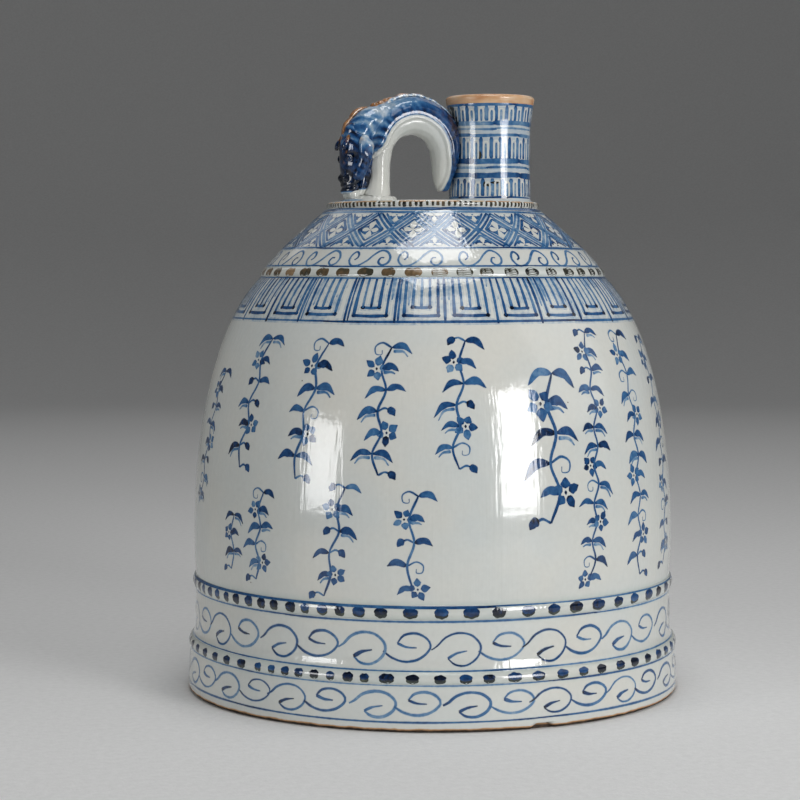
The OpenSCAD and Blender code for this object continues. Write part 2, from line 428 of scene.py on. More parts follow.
def drift(s, spread):
    """How a painted tone wanders as the colour pools and thins in the glaze."""
    pooling = s.add(s.noise(1.3, 4), -0.5)
    washing = s.add(s.noise(7, 2), -0.5)
    return s.times(s.add(pooling, washing), spread)


def ink_material(name="cobalt_ink", stops=COBALT, spread=0.45):
    """Underglaze painting: each stroke's own tone, broken up by pooling."""
    s = Shader(name, IOR=GLAZE_IOR)
    tone = s.add(s.attribute("ink"), drift(s, spread), clamp=True)
    glaze_skin(s)
    return s.finish(s.ramp(tone, stops), glaze_gloss(s))


def painted_glaze_material():
    """Glazed clay painted all over: ink is 0 where it is bare, and the rust colour marks worn edges and a
    brownish painted shade.
    """
    s = Shader("painted_glaze", IOR=GLAZE_IOR)
    ink = s.attribute("ink")
    strength = s.times(ink, 3.0, clamp=True)
    tone = s.add(ink, s.times(drift(s, 0.5), strength), clamp=True)
    cover = s.times(ink, 9.0, clamp=True)
    colour = s.mix(cover, bare_glaze(s), s.ramp(tone, COBALT))
    rust = s.ramp(s.noise(1.2, 4), [(0.3, (0.10, 0.045, 0.018)), (0.55, (0.33, 0.15, 0.055)),
                                    (0.8, (0.50, 0.30, 0.15))])
    colour = s.mix(s.attribute("rust"), colour, rust)
    glaze_skin(s, 0.045)
    return s.finish(colour, glaze_gloss(s))


def lip_material():
    s = Shader("iron_brown_lip", IOR=GLAZE_IOR)
    colour = s.ramp(s.noise(7, 4, (1, 1, 3)), [(0.3, (0.50, 0.25, 0.12)), (0.5, (0.62, 0.38, 0.21)),
                                              (0.72, (0.66, 0.50, 0.35))])
    glaze_skin(s)
    return s.finish(colour, glaze_gloss(s, 0.14, 0.3))


EDGE_SPAN = 3.0        # the height above the floor over which the glaze's edge is laid out


def foot_material():
    """Bare clay that the glaze overlaps, with a toasted line where it ends."""
    s = Shader("foot_clay", IOR=1.45)
    clay = s.ramp(s.noise(2.2, 6), [(0.3, (0.014, 0.010, 0.007)), (0.5, (0.034, 0.021, 0.013)),
                                    (0.75, (0.12, 0.068, 0.035))])
    edge = s.math("DIVIDE", s.add(s.height(), s.noise(5, 4)), EDGE_SPAN)
    line = s.ramp(edge, [(0.44, grey(0)), (0.50, grey(1))])
    cover = s.ramp(edge, [(0.57, grey(0)), (0.64, grey(1))])
    colour = s.mix(cover, s.mix(line, clay, (0.44, 0.24, 0.11, 1)), bare_glaze(s))
    s.bump(s.noise(0.5, 5), 0.08)
    grain = s.add(s.times(s.noise(1.2, 3), 0.2), 0.65)
    return s.finish(colour, s.math("SUBTRACT", grain, s.times(cover, 0.62)))


def floor_material():
    s = Shader("pale_floor")
    colour = s.ramp(s.noise(2.5, 6), [(0.3, (0.76, 0.76, 0.755)), (0.7, (0.82, 0.82, 0.815))])
    s.bump(s.noise(1.0, 3), 0.08)
    return s.finish(colour, s.add(s.times(s.noise(3, 2), 0.1), 0.7))


porcelain = porcelain_material()
# The tube's glaze is a darker, bluer copy of the porcelain glaze: a pale blue wash with painted shade in it.
shaded_wash = porcelain_material("shaded_wash_glaze", (0.53, 0.565, 0.575), (0.40, 0.475, 0.545))
painted_glaze = painted_glaze_material()
cobalt_ink = ink_material()
iron_ink = ink_material("iron_ink", IRON, 0.6)
olive_ink = ink_material("olive_ink", OLIVE, 0.6)
toasted_ink = ink_material("toasted_ink", TOASTED, 0.6)
lip_glaze = lip_material()
foot_clay = foot_material()


# ---------------------------------------------------------------- brushwork
def even(t):
    """Brush pressure of a plain line: a little thinner at both ends."""
    return np.minimum(1, np.minimum(0.6 + 5 * t, 0.6 + 5 * (1 - t)))


def fading(t):
    """A stroke that starts full and is lifted off."""
    return np.minimum(1, 0.7 + 4 * t) * (1 - 0.75 * t**1.5)


def round_dab(t):
    """An ellipse."""
    return np.clip(1 - (2 * t - 1) ** 2, 0.04, 1) ** 0.5


def blunt_dab(t):
    """A block with round corners."""
    return np.clip(1 - (2 * t - 1) ** 4, 0.04, 1) ** 0.5


def pointed(t):
    """Broad in the middle, with a point at both ends."""
    return np.clip(np.sin(np.pi * t**0.75) ** 0.9, 0.03, 1)


def petal_shape(t):
    """Narrow where it starts and round where it ends."""
    return np.clip(np.sin(np.pi * t**1.6) ** 0.6, 0.03, 1)


def flowing(points, step, metric=1.0):
    """A smooth curve through the points, sampled about every step mm."""
    p = np.asarray(points, float)
    before, after = 2 * p[0] - p[1], 2 * p[-1] - p[-2]
    q = np.vstack([before, p, after])
    curve = []
    for i in range(1, len(q) - 2):
        a, b, c, d = q[i - 1:i + 3]
        count = max(int(np.linalg.norm((c - b) * metric) / step), 1)
        t = np.arange(count)[:, None] / count
        curve.append(0.5 * (2 * b + (c - a) * t + (2 * a - 5 * b + 4 * c - d) * t**2
                            + (3 * b - a - 3 * c + d) * t**3))
    return np.vstack([*curve, p[-1:]])


class Brush:
    """Paints strokes on a turned surface. Each stroke is a closed, very thin solid.

    Its underside lies in the glaze, and its shading follows the surface below it.
    """

    DEPTH = 0.08          # how far a stroke reaches into the glaze
    LOWEST, LAYERS, LAYER = 0.014, 24, 0.0009   # each stroke lies a hair above the one before
    ABOVE_BLEED = 0.007   # and above the pale edge that bled from it

    def __init__(self, surface, tone=0.5, rise=0.0, bleed=0.0, palest=0.0):
        self.surface, self.tone, self.rise = surface, tone, rise
        self.bleed, self.palest = bleed, palest
        self.points, self.normals, self.inks, self.faces = [], [], [], []
        self.count = self.strokes = 0

    def metric(self, z):
        """How many mm one degree round and one mm of height are along the surface."""
        slope = float(self.surface.radius(z + 0.1) - self.surface.radius(z - 0.1)) / 0.2
        return np.array([math.radians(1) * float(self.surface.radius(z)), math.hypot(1, slope)])

    def stroke(self, path, width=0.6, ink=0.0, pressure=even, step=0.8, pooled=0.25):
        """Paints along (angle, height) points; ink is darker above 0 and paler below it."""
        metric = self.metric(np.mean(np.asarray(path, float)[:, 1]))
        line = flowing(path, step, metric)
        run = np.gradient(line * metric, axis=0)
        run /= np.maximum(np.linalg.norm(run, axis=1, keepdims=True), 1e-9)
        across = np.stack([-run[:, 1], run[:, 0]], -1) / metric
        t = np.linspace(0, 1, len(line))
        shake = 1 + 0.1 * np.sin(t * vary(5, 14) + vary(0, 6))
        half = width / 2 * pressure(t) * shake
        ends = np.exp(-(t / 0.12) ** 2) + np.exp(-((1 - t) / 0.12) ** 2)
        tone = np.maximum(self.tone + ink + pooled * (ends - 0.4) + vary(-0.1, 0.1), self.palest)
        layer = self.LAYER * (self.strokes % self.LAYERS)
        if self.bleed:
            self.lay(line, across, half + self.bleed / 2, 0.05 + 0 * t, self.LOWEST + layer / 4)
            layer += self.ABOVE_BLEED
        self.lay(line, across, half, tone, self.LOWEST + self.rise + layer)
        self.strokes += 1

    def lay(self, line, across, half, tone, top):
        """Adds one stroke's closed strip: its flanks go down into the glaze."""
        offsets = [-1, -1, -0.5, 0, 0.5, 1, 1] if half.max() > 0.7 else [-1, -1, 0, 1, 1]
        lifts = [-self.DEPTH] + [top] * (len(offsets) - 2) + [-self.DEPTH]
        n, sides, first = len(line), len(offsets), self.count
        p = line[None] + across[None] * (half[None, :] * np.array(offsets)[:, None])[..., None]
        lift = np.array(lifts)[:, None]
        self.points.append(self.surface.at(p[..., 0], p[..., 1], lift).reshape(-1, 3))
        self.normals.append(self.surface.normal(p[..., 0], p[..., 1]).reshape(-1, 3))
        self.inks.append(np.tile(tone, sides))
        for j in range(sides):
            a, b = first + j * n, first + (j + 1) % sides * n
            self.faces += [(a + i, a + i + 1, b + i + 1, b + i) for i in range(n - 1)]
        self.faces.append([first + j * n for j in range(sides)][::-1])
        self.faces.append([first + j * n + n - 1 for j in range(sides)])
        self.count += sides * n

    def hoop(self, z, width, ink=0.0, wobble=0.12, reach=(0, 360)):
        """A line drawn round, as a potter does on the wheel, in a few overlapping pulls."""
        start, end = reach
        if end - start == 360:
            start += vary(0, 360)
            end = start + 360
        pulls = max(round((end - start) / 72), 1)
        pull = (end - start) / pulls
        for _ in range(pulls):
            angles = np.linspace(start, start + pull + 3, 25)
            wave = wobble * np.sin(np.radians(angles * 3 + start)) + vary(-wobble, wobble) / 2
            self.stroke(np.stack([angles, z + wave], -1), width * vary(0.85, 1.15),
                        ink + vary(-0.1, 0.1), step=1.2)
            start += pull

    def dab(self, angle, z, width, height, ink=0.3, shape=round_dab):
        """A spot."""
        reach = (width - height * 0.2) / 2 / self.metric(z)[0]
        self.stroke([(angle - reach, z), (angle, z), (angle + reach, z)], height, ink, shape,
                    step=0.18, pooled=0.0)

    def piece(self, name, material, slot="cobalt_glaze"):
        made = new_object(name, np.concatenate(self.points), self.faces, material)
        point_values(made, ink=np.concatenate(self.inks))
        made.data.normals_split_custom_set_from_vertices(np.concatenate(self.normals).tolist())
        belongs(made, slot)


def repeat(count, first=0.0, jitter=0.03):
    """The start and width, in degrees, of equal repeats round the bell, spaced by eye."""
    pitch = 360 / count
    for k in range(count):
        yield first + pitch * (k + vary(-jitter, jitter)), pitch


# ---------------------------------------------------------------- painted bands
# Points of the two scrolls: a fraction of the repeat across, and of the half height up.
FALLING = [(-0.06, -0.14), (0.0, 0.06), (0.09, 0.5), (0.22, 0.72), (0.36, 0.58), (0.45, 0.06),
           (0.42, -0.52), (0.31, -0.92), (0.19, -0.90), (0.11, -0.58)]
FALLING_HOOK = [(0.11, -0.58), (0.20, -0.32), (0.31, -0.20)]
RISING = [(0.44, -0.24), (0.54, -0.60), (0.68, -0.78), (0.83, -0.58), (0.93, -0.04), (0.90, 0.42),
          (0.79, 0.72), (0.66, 0.62), (0.59, 0.20)]
RISING_HOOK = [(0.59, 0.20), (0.68, 0.0), (0.79, -0.04)]


def paint_scroll(z_mid, half_height, count, first):
    """A running vine of alternate spirals that curl down and then up."""
    brush = Brush(WALL, tone=0.66, bleed=0.4, palest=0.38)
    for start, pitch in repeat(count, first):
        for spiral, hook in ((FALLING, FALLING_HOOK), (RISING, RISING_HOOK)):
            size, lean = vary(0.94, 1.06), vary(-0.012, 0.012)

            def place(point):
                return (start + pitch * (point[0] + lean), z_mid + half_height * size * point[1])
            brush.stroke([place(p) for p in spiral], vary(0.5, 0.9), vary(-0.26, 0.16))
            brush.stroke([place(p) for p in hook], vary(0.8, 1.3), vary(-0.05, 0.3), fading)
    return brush


def paint_lower_bands():
    lower = paint_scroll(z_mid=25.6, half_height=5.6, count=17, first=1.0)
    lower.hoop(WAIST[0] - 0.45, 0.55, 0.0)
    lower.hoop(HEM[1] + 0.3, 0.5, -0.1)
    lower.piece("painted_scroll_above_hem", cobalt_ink)
    base = paint_scroll(z_mid=9.0, half_height=4.5, count=18, first=3.0)
    base.hoop(HEM[0] - 0.35, 0.5, -0.1)
    base.hoop(3.4, 0.6, 0.0, wobble=0.2)
    base.piece("painted_scroll_at_foot", cobalt_ink)


SMALL_SCROLL = [(0.13, -0.2), (0.18, 0.05), (0.18, 0.5), (0.12, 0.8), (0.05, 0.45), (0.03, -0.25),
                (0.11, -0.9), (0.25, -0.85), (0.38, -0.3), (0.49, 0.45), (0.61, 0.95), (0.73, 0.75),
                (0.80, 0.1), (0.77, -0.6), (0.67, -0.85), (0.60, -0.45), (0.63, 0.05), (0.69, 0.05)]


def paint_upper_scroll():
    """Small S-scrolls between the shoulder band and the lattice."""
    brush = Brush(WALL, tone=0.58, bleed=0.3, palest=0.3)
    z_mid, half_height = 142.0, 2.5
    for start, pitch in repeat(19, 8.0, 0.05):
        path = [(start + pitch * s, z_mid + half_height * t) for s, t in SMALL_SCROLL]
        brush.stroke(path, vary(0.6, 0.85), vary(-0.15, 0.05), step=0.4)
    brush.hoop(SHOULDER[1] + 0.4, 0.55, 0.05)
    brush.piece("painted_small_scroll", cobalt_ink)


def paint_lattice():
    """Crossing pairs of diagonals, with a four-petalled white flower in each diamond."""
    wash = Brush(WALL, tone=0.16)
    brush = Brush(WALL, tone=0.60, rise=0.02, bleed=1.0, palest=0.35)
    petals = Brush(WALL, rise=0.048)
    low, high = 145.6, 156.3
    middle, reach = (low + high) / 2, (high - low) / 2
    for start, pitch in repeat(20, 0.7, 0.02):

        def place(s, t):
            return (start + pitch * s, middle + reach * t)
        for side in (-1, 1):
            wash.stroke([place(-side * 0.5, -1), place(0, 0), place(side * 0.5, 1)], 1.9,
                        vary(-0.1, 0.12))
            for shift in (-0.066, 0.066):
                path = [place(shift - side * 0.5, -1), place(shift, 0), place(shift + side * 0.5, 1)]
                brush.stroke(path, vary(0.75, 1.1), vary(-0.2, 0.12))
        wash.stroke([place(0.2, 0), place(0.8, 0)], 6.8, 0.56, lambda t: 1 - np.abs(2 * t - 1))
        for a, b in (((0.5, 0.64), (0.82, 0)), ((0.82, 0), (0.5, -0.64)),
                     ((0.5, -0.64), (0.18, 0)), ((0.18, 0), (0.5, 0.64))):
            brush.stroke([place(*a), place(*b)], vary(0.7, 1.0), vary(-0.12, 0.1))
        for s, t in ((-0.21, 0.03), (0.21, -0.03), (0.02, -0.48), (-0.02, 0.48)):
            petals.stroke([place(0.5, 0), place(0.5 + s, t)], vary(1.8, 2.3), 0.0, petal_shape, 0.3)
        brush.dab(*place(0.0, 0.0), 1.2, 0.8, -0.1)
        for side in (-1, 1):
            path = [place(-0.30, side * 0.98), place(-0.02, side * 0.36), place(0.02, side * 0.36),
                    place(0.30, side * 0.98)]
            brush.stroke(path, 0.85, -0.05)
            wash.stroke([place(-0.2, side * 0.76), place(0.2, side * 0.76)], 2.6, 0.56, round_dab)
            for s, t in ((-0.15, 0.90), (0.15, 0.90), (0, 0.50)):
                petals.stroke([place(0, side * 0.84), place(s, side * t)], 1.4, 0.0, petal_shape, 0.3)
    brush.hoop(low - 0.35, 0.8, 0.0)
    brush.hoop(high + 0.4, 1.1, -0.1)
    wash.piece("painted_lattice_wash", cobalt_ink)
    brush.piece("painted_lattice", cobalt_ink)
    petals.piece("white_lattice_flowers", porcelain, "porcelain")


def paint_fret():
    """Nested open boxes that hang from the shoulder band."""
    brush, wash = Brush(WALL, tone=0.62, rise=0.02, bleed=1.3, palest=0.4), Brush(WALL, tone=0.18)
    top, bottom = SHOULDER[0] - 0.1, 122.7
    brush.hoop(bottom, 0.75, 0.0)
    brush.hoop(top - 0.2, 0.7, 0.0)
    for start, pitch in repeat(26, 3.2, 0.05):

        def line(s, floor, width, ink=0.0):
            slant = vary(-0.02, 0.02)
            middle = (top + floor) / 2
            path = [(start + pitch * (s + slant), top), (start + pitch * (s + slant / 3), middle),
                    (start + pitch * s, floor)]
            brush.stroke(path, width * vary(0.85, 1.2), ink + vary(-0.12, 0.12))
        line(0.0, bottom - vary(0.0, 0.8), 0.95, 0.1)
        if rng.random() < 0.3:
            line(0.07, bottom, 0.6)
        for reach, s0, s1, width in ((0.86, 0.18, 0.84, 0.92), (0.70, 0.34, 0.68, 0.88)):
            floor = top + (bottom - top) * (reach + vary(-0.02, 0.02))
            line(s0, floor, width)
            line(s1, floor, width)
            bar = [(start + pitch * (s0 - 0.02), floor + 0.2), (start + pitch * (s0 + s1) / 2, floor),
                   (start + pitch * (s1 + 0.02), floor + 0.15)]
            brush.stroke(bar, width * 1.15, 0.08)
            for s in (s0, s1):
                brush.dab(start + pitch * s, floor + 0.2, 1.7, 1.4, vary(0.2, 0.4))
        line(0.51, top + (bottom - top) * 0.69, 0.78)
        for s in (0.09, 0.26, 0.76, 0.92):
            if rng.random() < 0.6:
                path = [(start + pitch * s, top), (start + pitch * s, top - vary(2, 9))]
                wash.stroke(path, vary(1.0, 1.6), vary(-0.1, 0.12), fading)
    wash.piece("painted_fret_wash", cobalt_ink)
    brush.piece("painted_fret", cobalt_ink)


# ---------------------------------------------------------------- sprays on the body
# Hanging flower sprays: the angle and height of the top, those of the foot, and the size.
SPRAYS = [(-66, 106, -71, 66, 0.85), (-47, 117, -51, 77, 0.95), (-52, 62, -52, 45, 0.8),
          (-42, 70, -43, 43, 0.9), (-28, 116, -33, 75, 1.0), (-20, 73, -24, 40, 0.95),
          (-11, 115, -13, 77, 1.0), (-4, 71, -5, 43, 0.95), (7.5, 117, 5, 79, 1.0),
          (29, 107, 28, 62, 1.35), (43, 119, 38, 44, 0.9), (57, 118, 54.5, 43, 0.95),
          (74, 116, 70, 44, 0.95), (92, 112, 90, 60, 1.0), (110, 117, 106, 46, 0.95),
          (127, 110, 126, 72, 1.0), (133, 64, 132, 42, 0.9), (146, 117, 143, 48, 0.95),
          (164, 112, 162, 60, 1.25), (181, 117, 178, 45, 0.95), (198, 110, 197, 70, 1.0),
          (205, 62, 204, 42, 0.9), (217, 117, 214, 48, 0.95), (235, 112, 233, 62, 1.0),
          (252, 117, 249, 46, 0.9), (268, 110, 266, 58, 0.95)]


class Spray:
    """One hanging spray. Its drawing is laid out in mm to the right and up from a point."""

    def __init__(self, brush, size):
        self.brush, self.size = brush, size

    def spot(self, origin, right, up):
        angle, z = origin
        z += up * self.size
        return (angle + right * self.size / self.brush.metric(z)[0], z)

    def curve(self, origin, points, width, ink=0.0, pressure=even):
        path = [self.spot(origin, *p) for p in points]
        self.brush.stroke(path, width * self.size, ink, pressure, step=0.4)

    def leaf(self, origin, side, droop=0.4, length=6.5):
        """A pointed leaf with a lighter second touch along its lower edge."""
        tip = (side * length, -droop * length)
        bend = (side * length * 0.55, length * (0.20 - droop * 0.4))
        self.curve(origin, [(0, 0), bend, tip], vary(1.8, 2.5), vary(-0.1, 0.2), pointed)
        if rng.random() < 0.5:
            low = [(side * 0.6, -1.1), (bend[0], bend[1] - 1.7), (tip[0] * 0.8, tip[1] - 0.8)]
            self.curve(origin, low, 1.0, -0.3, fading)

    def blossom(self, origin):
        turn = vary(0, 360)
        for k in range(5):
            a = math.radians(turn + 72 * k + vary(-8, 8))
            reach = 3.7 * vary(0.85, 1.15)
            path = [(0.9 * math.cos(a), 0.9 * math.sin(a)), (reach * math.cos(a), reach * math.sin(a))]
            self.curve(origin, path, vary(2.0, 2.6), vary(-0.25, 0.2), pointed)
        self.brush.dab(*origin, 0.9 * self.size, 0.9 * self.size, 0.25)

    def bud(self, origin, side):
        self.curve(origin, [(0, 0), (side * 2.0, 1.0), (side * 3.4, 0.6)], 0.6, -0.1)
        self.curve(origin, [(side * 3.0, 0.9), (side * 4.4, 0.1), (side * 5.4, -1.3)],
                   2.4, 0.15, pointed)

    def tendril(self, origin, side):
        curl = [(0, 0), (side * 2.8, 1.4), (side * 5.0, 0.3), (side * 4.8, -1.9), (side * 3.0, -2.1),
                (side * 2.9, -0.8)]
        self.curve(origin, curl, 0.6, -0.1, fading)

    def paint(self, top, bottom):
        length = (top[1] - bottom[1]) / self.size
        joints = max(round(length / 6.6), 3)
        stem = []
        for k in range(joints + 1):
            t = k / joints
            angle = top[0] + (bottom[0] - top[0]) * t
            z = top[1] + (bottom[1] - top[1]) * t
            stem.append(self.spot((angle, z), vary(0.6, 1.4) * (-1) ** k, 0))
        self.brush.stroke(stem, 0.75 * self.size, -0.05, step=0.8)
        for k, joint in enumerate(stem):
            side = (-1) ** k
            if k % 3 == 1:
                self.blossom(self.spot(joint, side * 1.6, 0))
                self.leaf(joint, -side, vary(0.1, 0.5), vary(4.6, 6.0))
            elif k == joints:
                self.bud(joint, side)
            else:
                self.leaf(joint, side, vary(0.0, 0.6), vary(5.2, 7.0))
                rng.choice((self.tendril, self.bud, self.leaf))(joint, -side)


def paint_sprays():
    front, back = (Brush(WALL, tone=0.72, bleed=0.35, palest=0.3) for _ in range(2))
    for top_angle, top_z, foot_angle, foot_z, size in SPRAYS:
        brush = front if top_angle < 90 else back
        Spray(brush, size).paint((top_angle, top_z), (foot_angle, foot_z))
    front.piece("painted_front_sprays", cobalt_ink)
    back.piece("painted_back_sprays", cobalt_ink)


# ---------------------------------------------------------------- bands in relief
def band_surface(low, high, proud):
    """The face of a low rounded band between two heights of the wall."""
    chord = wall_radius(np.array([low, high]))

    def radius(z):
        t = np.clip((z - low) / (high - low), 0, 1)
        return chord[0] + (chord[1] - chord[0]) * t + proud * np.sin(np.pi * t) ** 0.7
    return Turned(radius, throwing)


def proud_of(node):
    """How far a CAD band stands out from the wall's chord."""
    points = cad_points(node)
    radius = np.hypot(points[:, 0], points[:, 1])
    top = radius.argmax()
    return radius[top] - float(wall_radius(points[top, 2]))


def band_piece(name, low, high):
    """A band as its own piece, with its back in the wall. Returns its painted surface."""
    surface = band_surface(low, high, proud_of(name + "_band"))
    turned_piece(name + "_bead", surface, low, high, 17, lambda z: wall_radius(z) - 0.6,
                 porcelain, "porcelain", name + "_band")
    return surface


CROWDING = 0.72        # how close ticks stand in a crowd, against ticks set evenly
CROWDED_WIDTH = 0.78   # how wide they are there, against the others


def make_ticked_band(name, span, count, width, height, crowd):
    """A low bead painted with dark ticks, each with an olive shadow under it. Returns its surface.

    The painter set narrower ticks closer together between the two angles of the crowd.
    """
    surface = band_piece(name, *span)
    middle = (span[0] + span[1]) / 2
    low, high = crowd
    even_places = (0, (high - low) / CROWDING, 360)
    places = [(float(np.interp(start, even_places, (low, high, low + 360))), vary(0.85, 1.12))
              for start, _ in repeat(count, 0.8, 0.07)]
    shadow, navy = Brush(surface, tone=0.62), Brush(surface, tone=0.86, rise=0.02)
    for angle, size in places:
        wide = width * size * (CROWDED_WIDTH if angle < high else 1)
        shadow.dab(angle, middle - 0.6, wide * 0.95, height, vary(-0.2, 0.2))
        navy.dab(angle, middle + 0.2, wide, height * size, vary(-0.1, 0.15))
    shadow.piece("painted_" + name + "_shadows", olive_ink)
    navy.piece("painted_" + name + "_ticks", cobalt_ink)
    return surface


def paint_waist_line(surface):
    """The line along the band's top, which was drawn again, bolder, on the front's left."""
    line = Brush(surface, tone=0.55, rise=0.045)
    bold_from, bold_to = -80, 11
    z = WAIST[1] - 0.6
    line.hoop(z, 0.5, 0.0, 0.1, (bold_to, bold_from + 360 + 2))
    line.hoop(z, 0.95, 0.22, 0.1, (bold_from, bold_to))
    line.piece("painted_waist_line", cobalt_ink)


def make_shoulder_band():
    surface = band_piece("shoulder", *SHOULDER)
    iron = Brush(surface, tone=0.5)
    for start, pitch in repeat(46, 1.8, 0.06):
        olive = 0.25 * math.sin(math.radians(start))
        iron.dab(start, SHOULDER[0] + 1.5, 5.5 * vary(0.85, 1.12), 2.9,
                 olive + vary(-0.1, 0.25), blunt_dab)
    iron.piece("painted_shoulder_ticks", iron_ink)


# ---------------------------------------------------------------- walls, foot and crown
WALL_ROW = 0.8         # the height of one row of the walls' faces


def make_walls():
    """The three walls. Two of them meet in the middle of each of the bands that cover their joints."""
    def inside(z):
        return np.interp(z, INNER_Z, WALL_IN)
    waist, shoulder = sum(WAIST) / 2, sum(SHOULDER) / 2
    for name, low, high in (("skirt", FOOT_TOP, waist), ("body", waist, shoulder),
                            ("shoulder", shoulder, NECK)):
        rows = int((high - low) / WALL_ROW)
        turned_piece(name, WALL, low, high, rows, inside, porcelain, "porcelain", name + "_wall")


CHIP_ANGLE, CHIP_SPAN = 24.5, 3.6      # in degrees
CHIP_DEPTH, CHIP_HEIGHT = 1.6, 1.9


def chip(angle):
    """The small chip in the foot's edge: 1 in its middle, 0 outside it."""
    from_middle = np.abs((np.asarray(angle) - CHIP_ANGLE + 180) % 360 - 180)
    return np.clip(1.6 - from_middle / CHIP_SPAN * 2, 0, 1)


def make_foot():
    """The foot ring, with a roughly trimmed edge that is flush with the wall above it."""
    lo, hi = cad_range("foot_rim")
    points = cad_points("foot_rim")
    radius = np.hypot(points[:, 0], points[:, 1])
    outer, inner = radius.max(), radius.min()
    segments = 900
    angles = np.arange(segments) * 360 / segments
    flush = throwing(angles, hi)
    outline = [(inner, hi), (inner, 0.7), (inner + 0.7, lo), (outer - 2, lo), (outer - 1.1, lo + 0.05),
               (outer - 0.5, 0.3), (outer - 0.2, 0.7), (outer - 0.05, 1.1), (outer, 1.5), (outer, hi)]
    grid = []
    for r, z in outline:
        on_edge = 1.0 if r > outer - 1.6 else 0.0
        rough = 0.08 * np.abs(np.sin(angles * 2.9) * np.sin(angles * 0.7 + 1)) * (hi - z) * on_edge
        bite = chip(angles) * on_edge * (hi - z) / hi
        worn = r - rough - CHIP_DEPTH * bite - flush * on_edge
        grid.append(ring(worn, z + CHIP_HEIGHT * bite, angles))
    made = new_object("foot_ring", np.concatenate(grid), ring_faces(len(grid), segments), foot_clay)
    made.data.set_sharp_from_angle(angle=math.radians(50))
    belongs(made, "bare_clay", "foot_rim")


CROWN_R = 34.9
CROWN_LIP = 0.15       # how far the cut edge stands above the crown's flat top
BEAD_LOW = 158.5       # where the shoulder's slope ends and the cut edge begins
PLATE_R = float(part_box("crown_plate")[1][0]) / MM
TEETH = 124
EDGE_INSET = 0.10      # how far the edge between the notches lies inside its outline


def crown_radius(z):
    neck = float(wall_radius(NECK))
    slope = neck + (CROWN_R - neck) * (z - NECK) / (BEAD_LOW - NECK)
    t = np.clip((z - BEAD_LOW) / (CROWN_Z + CROWN_LIP - BEAD_LOW), 0, 1)
    bead = CROWN_R + 0.35 * np.sin(np.pi * t) ** 0.6 - 0.5 * t**4
    return np.where(z < BEAD_LOW, slope, bead)


def notched(angle, z):
    """The small cuts that the potter pressed round the crown's edge."""
    on_bead = smoothstep(BEAD_LOW - 0.1, BEAD_LOW + 0.3, z)
    return EDGE_INSET + 0.14 * on_bead * (0.5 + 0.5 * np.cos(np.radians(angle * TEETH))) ** 3


def glaze_crown_plate():
    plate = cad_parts["crown_plate"]
    for slot in plate.material_slots:
        slot.material = porcelain
    if not plate.material_slots:
        plate.data.materials.append(porcelain)


def make_crown():
    edge = Turned(crown_radius, notched)
    turned_piece("crown_bead", edge, NECK - 0.05, CROWN_Z + CROWN_LIP, 18,
                 lambda z: PLATE_R - 0.3, porcelain, "porcelain", "crown_band", TEETH * 8)
    even_ring = Turned(crown_radius, lambda angle, z: EDGE_INSET)
    blue = Brush(even_ring, tone=0.55)
    blue.hoop(BEAD_LOW - 0.75, 1.5, 0.1, 0.05)
    blue.piece("painted_crown_line", cobalt_ink)
    ticks = Brush(even_ring, tone=0.85)
    for start, _ in repeat(TEETH, 0.0, 0.1):
        ticks.stroke([(start, CROWN_Z - 0.25), (start, BEAD_LOW + vary(-0.2, 0.25))],
                     vary(0.7, 1.1), vary(-0.3, 0.15), step=0.25)
    ticks.piece("painted_crown_ticks", iron_ink)
    worn = Brush(even_ring, tone=0.4, rise=0.03)
    for start, pitch in repeat(38, 0.0, 0.2):
        worn.stroke([(start, CROWN_Z - 0.3), (start + pitch * vary(0.6, 1.0), CROWN_Z - 0.25)],
                    vary(0.3, 0.55), vary(-0.3, 0.3))
    worn.piece("worn_crown_edge", toasted_ink, "iron_brown_edge")


# ---------------------------------------------------------------- the tube
TUBE_X = float((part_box("tube_lip")[0][0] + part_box("tube_lip")[1][0]) / 2 / MM)
TUBE_Z, TUBE_OUT = cad_side(1, "tube", centre_x=TUBE_X)
TUBE_BASE, LIP_BASE = cad_range("tube")[0], cad_range("tube_lip")[0]
LIP_TOP = cad_range("tube_lip")[1]
BORE = 9               # radius of the tube's bore


def tube_radius(z):
    """The CAD tube's radius, with the flare below the lip that the thrower's finger left."""
    return np.interp(z, TUBE_Z, TUBE_OUT) + 0.55 * smoothstep(184, LIP_BASE + 2, z)


def tube_unevenness(angle, z):
    return 0.06 + 0.03 * np.sin(np.radians(2 * angle) + z / 11) + 0.02 * np.sin(z / 2.7)


def make_tube():
    wall = Turned(tube_radius, tube_unevenness, TUBE_X)
    turned_piece("tube_wall", wall, TUBE_BASE, LIP_BASE + 0.2, 38, lambda z: BORE,
                 shaded_wash, "cobalt_glaze", "tube", 192)
    widest = (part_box("tube_lip")[1][0] / MM) - TUBE_X

    def lip_radius(z):
        t = np.clip((z - LIP_BASE) / (LIP_TOP - LIP_BASE), 0, 1)
        return widest - 0.45 * (1 - t) ** 2 - 1.1 * np.clip(2 * t - 1, 0, 1) ** 3
    turned_piece("tube_rim", Turned(lip_radius, tube_unevenness, TUBE_X), LIP_BASE, LIP_TOP - 0.02, 22,
                 lambda z: BORE + 1.2 * ((z - LIP_BASE) / 3) ** 4,
                 lip_glaze, "iron_brown_edge", "tube_lip", 192)
    collar = Turned(lambda z: tube_radius(z) + 0.75 * bump_at(z, CROWN_Z, 0.9), tube_unevenness, TUBE_X)
    turned_piece("tube_seam", collar, CROWN_Z - 0.3, CROWN_Z + 2.4, 10, lambda z: BORE + 2,
                 shaded_wash, "cobalt_glaze", "tube_collar", 192)
    paint_tube(wall)


# The lowest and highest point of each row of arches.
TUBE_ROWS = [(187.2, 192.2), (174.9, 181.9), (162.6, 168.4)]
